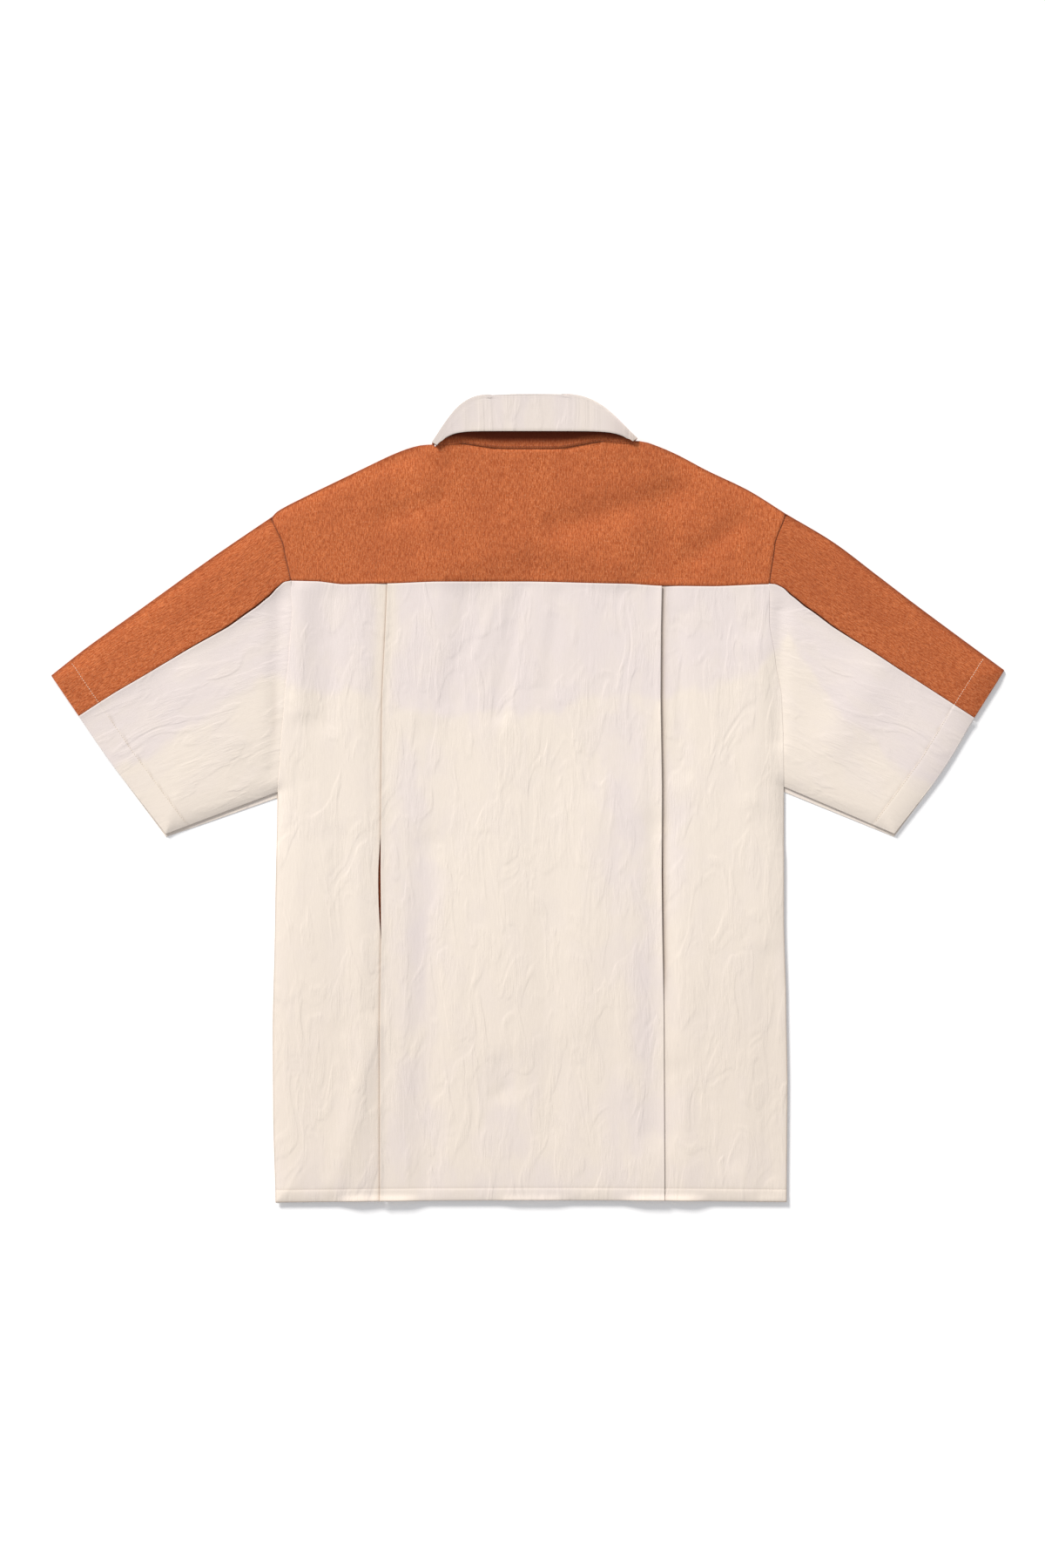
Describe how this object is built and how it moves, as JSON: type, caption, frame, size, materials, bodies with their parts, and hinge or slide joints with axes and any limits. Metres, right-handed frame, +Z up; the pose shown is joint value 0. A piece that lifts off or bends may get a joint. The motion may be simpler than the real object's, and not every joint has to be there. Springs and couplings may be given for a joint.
{
  "type": "bowling shirt",
  "caption": "Short-sleeved camp-collar shirt laid flat face down, with a contrast yoke, sleeve bands and two open back pleats.",
  "frame": {"origin": "on the surface that the shirt lies on, below the middle of its outline", "axes": "+Z up out of the shirt's back, +Y towards the collar, +X towards the sleeve on the right as seen from above"},
  "size_m": [0.9626, 0.8161, 0.0175],
  "materials": {
    "rust_cloth": "matt heathered rust weave",
    "cream_cloth": "matt cream weave with a fine vertical crinkle",
    "button_horn": "satin horn-coloured"
  },
  "bodies": {
    "root": {"back_yoke": "rust_cloth", "back_centre": "cream_cloth", "back_side_left": "cream_cloth", "back_side_right": "cream_cloth", "pleat_insert_left": "rust_cloth", "pleat_insert_right": "rust_cloth", "front_left": "cream_cloth", "front_right": "cream_cloth", "sleeve_band_left": "rust_cloth", "sleeve_band_right": "rust_cloth", "sleeve_back_left": "cream_cloth", "sleeve_back_right": "cream_cloth", "sleeve_front_left": "cream_cloth", "sleeve_front_right": "cream_cloth", "collar_upper": "cream_cloth", "collar_under": "rust_cloth", "button_1": "button_horn", "button_2": "button_horn", "button_3": "button_horn", "button_4": "button_horn", "button_5": "button_horn", "button_6": "button_horn"}
  },
  "joints": []
}
